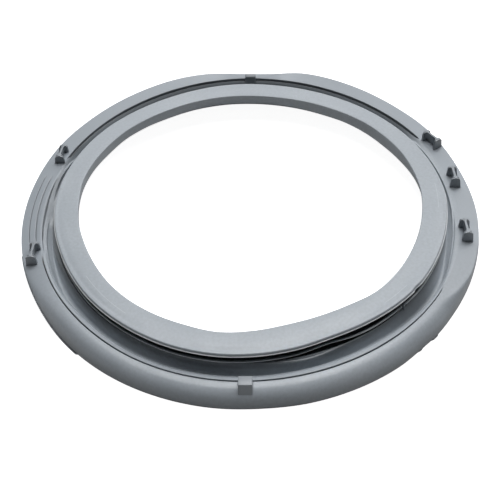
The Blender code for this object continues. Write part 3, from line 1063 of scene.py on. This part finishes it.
# %% helpers for nodes
def add_noise(tree, coordinates, scale, detail, low, high):
    """Noise of a scale, remapped so that it runs from low to high."""
    noise = tree.nodes.new("ShaderNodeTexNoise")
    noise.inputs["Scale"].default_value = scale
    noise.inputs["Detail"].default_value = detail
    tree.links.new(coordinates, noise.inputs["Vector"])
    spread = tree.nodes.new("ShaderNodeMapRange")
    spread.inputs["From Min"].default_value = 0.3
    spread.inputs["From Max"].default_value = 0.7
    spread.inputs["To Min"].default_value = low
    spread.inputs["To Max"].default_value = high
    tree.links.new(noise.outputs["Fac"], spread.inputs["Value"])
    return spread.outputs["Result"]


def add_mix(tree, factor, first, second):
    """Mix of two colours; a colour may be a socket or four numbers."""
    mix = tree.nodes.new("ShaderNodeMix")
    mix.data_type = "RGBA"
    tree.links.new(factor, mix.inputs["Factor"])
    for name, colour in (("A", first), ("B", second)):
        socket = next(item for item in mix.inputs if item.name == name and item.type == "RGBA")
        if isinstance(colour, tuple):
            socket.default_value = colour
        else:
            tree.links.new(colour, socket)
    return next(item for item in mix.outputs if item.type == "RGBA")


def add_math(tree, operation, first, second=None):
    """Math node; each value may be a socket or a number."""
    node = tree.nodes.new("ShaderNodeMath")
    node.operation = operation
    for socket, value in zip(node.inputs, (first, second)):
        if value is None:
            continue
        if isinstance(value, (int, float)):
            socket.default_value = value
        else:
            tree.links.new(value, socket)
    return node.outputs["Value"]


# %% [markdown]
# ## Scuffs on the lip
#
# Three faint hairline scuffs run along the lip, and one short dark nick lies across its outer
# edge at the left. A scuff is a thin line at a slowly drifting radius that shows only between two
# angles, so it can be painted with a few Math nodes from the object's own coordinates. The nick
# is a small diamond, measured across and along its own direction.

# %% scuffs and nick as masks
SCUFFS = (
    (-8.0, 3.0, 164.2, 0.12),
    (-51.0, -42.0, 162.5, 0.14),
    (-146.0, -127.0, 159.5, 0.14),
)
SCUFF_DRIFT = 6.0
NICK_ANGLE = 174.4
NICK_MIDDLE = 168.0
NICK_REACH = 1.6
NICK_WIDTH = 0.5


def add_scuffs(tree, coordinates):
    """Mask that is 1 on the scuff lines and 0 elsewhere."""
    split = tree.nodes.new("ShaderNodeSeparateXYZ")
    tree.links.new(coordinates, split.inputs["Vector"])
    x, y = split.outputs["X"], split.outputs["Y"]
    x_square, y_square = add_math(tree, "MULTIPLY", x, x), add_math(tree, "MULTIPLY", y, y)
    radius = add_math(tree, "SQRT", add_math(tree, "ADD", x_square, y_square))
    angle = add_math(tree, "ARCTAN2", y, x)
    total = None
    for start, end, line, width in SCUFFS:
        turned = add_math(tree, "SUBTRACT", angle, math.radians(start))
        drift = add_math(tree, "MULTIPLY", turned, SCUFF_DRIFT * MM)
        line_at = add_math(tree, "ADD", drift, line * MM)
        off = add_math(tree, "ABSOLUTE", add_math(tree, "SUBTRACT", radius, line_at))
        near = add_math(tree, "SUBTRACT", 1.0, add_math(tree, "DIVIDE", off, 2 * width * MM))
        near = add_math(tree, "MAXIMUM", near, 0.0)
        after = add_math(tree, "GREATER_THAN", angle, math.radians(start))
        ahead = add_math(tree, "LESS_THAN", angle, math.radians(end))
        here = add_math(tree, "MULTIPLY", near, add_math(tree, "MULTIPLY", after, ahead))
        total = here if total is None else add_math(tree, "MAXIMUM", total, here)
    return total


def add_nick(tree, coordinates):
    """Mask that is 1 on a short nick across the lip's outer edge."""
    split = tree.nodes.new("ShaderNodeSeparateXYZ")
    tree.links.new(coordinates, split.inputs["Vector"])
    angle = math.radians(NICK_ANGLE)
    rise = add_math(tree, "MULTIPLY", split.outputs["Y"], math.cos(angle))
    run = add_math(tree, "MULTIPLY", split.outputs["X"], math.sin(angle))
    aside = add_math(tree, "ABSOLUTE", add_math(tree, "SUBTRACT", rise, run))
    beside = add_math(tree, "DIVIDE", aside, NICK_WIDTH * MM)
    middle = NICK_MIDDLE * math.cos(angle) * MM
    ahead = add_math(tree, "ABSOLUTE", add_math(tree, "SUBTRACT", split.outputs["X"], middle))
    along = add_math(tree, "DIVIDE", ahead, NICK_REACH * MM)
    inside = add_math(tree, "SUBTRACT", 1.0, add_math(tree, "MAXIMUM", beside, along))
    deep = add_math(tree, "MAXIMUM", add_math(tree, "MULTIPLY", inside, 2.0), 0.0)
    return add_math(tree, "MINIMUM", deep, 1.0)


# %% [markdown]
# ## The rubber itself
#
# One Principled shader serves the whole seal. Its colour is built up in layers, from the bottom:
# plain rubber with talc, fine specks of grime, the scuffs, and then the painted shade and painted
# highlights whose shares the loft stored in the mesh. The lugs and the blocks were moulded from
# the same rubber. They get a second material from the same function, a darker copy of the rubber
# that is painted shade.

# %% the rubber material
TALC_SCALE = 14.0
SPECK_SCALE = 420.0
SPECK_STRENGTH = 0.35
SHEEN_SCALE = 60.0
SHEEN = (0.29, 0.38)
GRAIN_SCALE = 900.0
GRAIN_STRENGTH = 0.10
GRAIN_DEPTH = 0.0002
RUBBER = (0.385, 0.425, 0.468, 1.0)
RUBBER_TALC = (0.440, 0.480, 0.520, 1.0)
RUBBER_SCUFF = (0.560, 0.600, 0.630, 1.0)
RUBBER_GRIME = (0.300, 0.325, 0.345, 1.0)
# Painted shade for the grooves, the pressed lines, the shaded faces and the hollows.
RUBBER_PAINTED_SHADE = (0.045, 0.048, 0.051, 1.0)
# Painted highlight for the hook's bead and the fin's tip.
RUBBER_PAINTED_HIGHLIGHT = (0.780, 0.810, 0.830, 1.0)
# Painted shade on the flat flange, and the lighter tone of the lugs' shaded copy.
RUBBER_SHADED = (0.335, 0.369, 0.405, 1.0)
# Darker copy of the rubber for the lugs and blocks: painted shade.
RUBBER_LUG_SHADED = (0.255, 0.280, 0.305, 1.0)
# Tones of the painted shade and the painted highlight, for the shares stored in the mesh.
TONES = {
    "flange_shade": RUBBER_SHADED,
    "edge_highlight": RUBBER_PAINTED_HIGHLIGHT,
    "line": RUBBER_PAINTED_SHADE,
    "hollow": RUBBER_PAINTED_SHADE,
}


def make_rubber(name, scuffed):
    """Grey moulded rubber, talc, grain; scuffs and painted light on the ring, else a darker
    painted-shade copy.
    """
    rubber = bpy.data.materials.new(name)
    rubber.use_nodes = True
    tree = rubber.node_tree
    shader = tree.nodes["Principled BSDF"]
    coordinates = tree.nodes.new("ShaderNodeTexCoord").outputs["Object"]
    talc = add_noise(tree, coordinates, TALC_SCALE, 4.0, 0.0, 1.0)
    specks = add_noise(tree, coordinates, SPECK_SCALE, 3.0, 0.0, SPECK_STRENGTH)
    # The lugs and blocks get the darker tones: painted shade.
    plain, dusted = (RUBBER, RUBBER_TALC) if scuffed else (RUBBER_LUG_SHADED, RUBBER_SHADED)
    colour = add_mix(tree, specks, add_mix(tree, talc, plain, dusted), RUBBER_GRIME)
    if scuffed:
        colour = add_mix(tree, add_scuffs(tree, coordinates), colour, RUBBER_SCUFF)
        colour = add_mix(tree, add_nick(tree, coordinates), colour, RUBBER_GRIME)
        # Painted shade and painted highlight, mixed in by the shares stored in the mesh.
        for layer, tone in TONES.items():
            share = tree.nodes.new("ShaderNodeAttribute")
            share.attribute_name = layer
            colour = add_mix(tree, share.outputs["Fac"], colour, tone)
    tree.links.new(colour, shader.inputs["Base Color"])
    sheen = add_noise(tree, coordinates, SHEEN_SCALE, 3.0, *SHEEN)
    tree.links.new(sheen, shader.inputs["Roughness"])
    grain = tree.nodes.new("ShaderNodeTexNoise")
    grain.inputs["Scale"].default_value = GRAIN_SCALE
    grain.inputs["Detail"].default_value = 3.0
    tree.links.new(coordinates, grain.inputs["Vector"])
    bump = tree.nodes.new("ShaderNodeBump")
    bump.inputs["Strength"].default_value = GRAIN_STRENGTH
    bump.inputs["Distance"].default_value = GRAIN_DEPTH
    tree.links.new(grain.outputs["Fac"], bump.inputs["Height"])
    tree.links.new(bump.outputs["Normal"], shader.inputs["Normal"])
    return rubber


ring_rubber = make_rubber("ring_rubber", True)
lug_rubber = make_rubber("lug_rubber", False)
seal_ring.data.materials.append(ring_rubber)
for piece in [*lugs, *blocks, nib]:
    piece.data.materials.clear()
    piece.data.materials.append(lug_rubber)
print("materials:", ring_rubber.name, lug_rubber.name)

# %% [markdown]
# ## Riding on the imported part
#
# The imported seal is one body, called root, and one node. The ring stands for that node, and the
# lugs, the blocks and the nib ride along with it.

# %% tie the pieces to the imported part
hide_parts("door_seal")
for piece in [seal_ring, *lugs, *blocks, nib]:
    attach(piece, "root")
print("pieces:", 2 + len(lugs) + len(blocks))

# %% [markdown]
# ## The table
#
# A catalogue picture has a pure white ground. The floor glows white only towards the camera, and
# it still takes the seal's soft shadow, because part of it is an ordinary pale surface.

# %% floor
FLOOR_SIDE = 30.0
FLOOR_GREY = (0.6, 0.6, 0.6, 1.0)
FLOOR_GLOW = 0.94


def make_floor():
    """Large pale floor that the camera sees as white, with the seal's shadow on it."""
    bpy.ops.mesh.primitive_plane_add(size=FLOOR_SIDE, location=(0.0, 0.0, 0.0))
    ground = bpy.context.object
    ground.name = "studio_floor"
    paint = bpy.data.materials.new("floor_white")
    paint.use_nodes = True
    tree = paint.node_tree
    tree.nodes.clear()
    output = tree.nodes.new("ShaderNodeOutputMaterial")
    pale = tree.nodes.new("ShaderNodeBsdfDiffuse")
    pale.inputs["Color"].default_value = FLOOR_GREY
    glow = tree.nodes.new("ShaderNodeEmission")
    glow.inputs["Color"].default_value = (1.0, 1.0, 1.0, 1.0)
    glow.inputs["Strength"].default_value = FLOOR_GLOW
    path = tree.nodes.new("ShaderNodeLightPath")
    seen = tree.nodes.new("ShaderNodeMixShader")
    black = tree.nodes.new("ShaderNodeEmission")
    black.inputs["Strength"].default_value = 0.0
    both = tree.nodes.new("ShaderNodeAddShader")
    tree.links.new(path.outputs["Is Camera Ray"], seen.inputs["Fac"])
    tree.links.new(black.outputs["Emission"], seen.inputs[1])
    tree.links.new(glow.outputs["Emission"], seen.inputs[2])
    tree.links.new(pale.outputs["BSDF"], both.inputs[0])
    tree.links.new(seen.outputs["Shader"], both.inputs[1])
    tree.links.new(both.outputs["Shader"], output.inputs["Surface"])
    ground.data.materials.append(paint)
    return ground


studio_floor = make_floor()
print("floor side, m:", studio_floor.dimensions.x)

# %% [markdown]
# ## Light
#
# The flat tops are bright and every face towards the camera is dark, so the main light is a
# large soft one above and behind the seal. A low one behind it gives the edges their gleam, and
# one from the back right makes the right side of the flange a little brighter than the left. A
# weak, even sky fills the shadows. The table gives each softbox its name, place, side and power.

# %% lights and world
SOFTBOXES = (
    ("back_high_softbox", (0.0, 0.906, 3.381), 2.2, 93.0),
    ("back_low_softbox", (0.0, 3.031, 1.75), 2.0, 21.0),
    ("right_softbox", (1.896, 1.591, 2.475), 2.2, 37.0),
)
SKY_COLOUR = (0.95, 0.97, 1.0, 1.0)
SKY_STRENGTH = 0.03


def add_softbox(name, place, size, power):
    """Square area light that looks at the middle of the seal."""
    data = bpy.data.lights.new(name, "AREA")
    data.shape = "SQUARE"
    data.size = size
    data.energy = power
    box = bpy.data.objects.new(name, data)
    box.location = place
    box.rotation_euler = (-Vector(place)).to_track_quat("-Z", "Y").to_euler()
    bpy.context.scene.collection.objects.link(box)
    return box


for details in SOFTBOXES:
    add_softbox(*details)

sky = bpy.data.worlds.new("studio_sky")
sky.use_nodes = True
background = sky.node_tree.nodes["Background"]
background.inputs["Color"].default_value = SKY_COLOUR
background.inputs["Strength"].default_value = SKY_STRENGTH
bpy.context.scene.world = sky
print("softboxes:", len(SOFTBOXES), "sky strength:", SKY_STRENGTH)

# %% [markdown]
# ## Camera
#
# The camera looks down at about 46 degrees from in front of the seal, with a slight roll, and its
# lens makes the ring fill most of the frame. Its axes are worked out from those two turns.

# %% camera
CAMERA_PLACE = (0.0, -0.5107, 0.4968)
CAMERA_PITCH = 46.40
CAMERA_ROLL = -1.81
SENSOR = 36.0
LENS = 56.48
LENS_SHIFT = 0.001


def add_camera():
    """Camera at the viewing angle of the picture."""
    pitch, roll = math.radians(CAMERA_PITCH), math.radians(CAMERA_ROLL)
    ahead = Vector((0.0, math.cos(pitch), -math.sin(pitch)))
    right = Vector((1.0, 0.0, 0.0))
    above = right.cross(ahead)
    right, above = (
        right * math.cos(roll) + above * math.sin(roll),
        above * math.cos(roll) - right * math.sin(roll),
    )
    data = bpy.data.cameras.new("catalogue_camera")
    data.sensor_width = SENSOR
    data.lens = LENS
    data.shift_x = -LENS_SHIFT
    data.shift_y = LENS_SHIFT
    camera = bpy.data.objects.new("catalogue_camera", data)
    axes = Matrix((right, above, -ahead)).transposed().to_4x4()
    camera.matrix_world = Matrix.Translation(CAMERA_PLACE) @ axes
    bpy.context.scene.collection.objects.link(camera)
    bpy.context.scene.camera = camera
    return camera


catalogue_camera = add_camera()
bpy.context.scene.view_settings.view_transform = "Standard"
print("lens, mm:", round(catalogue_camera.data.lens, 2))
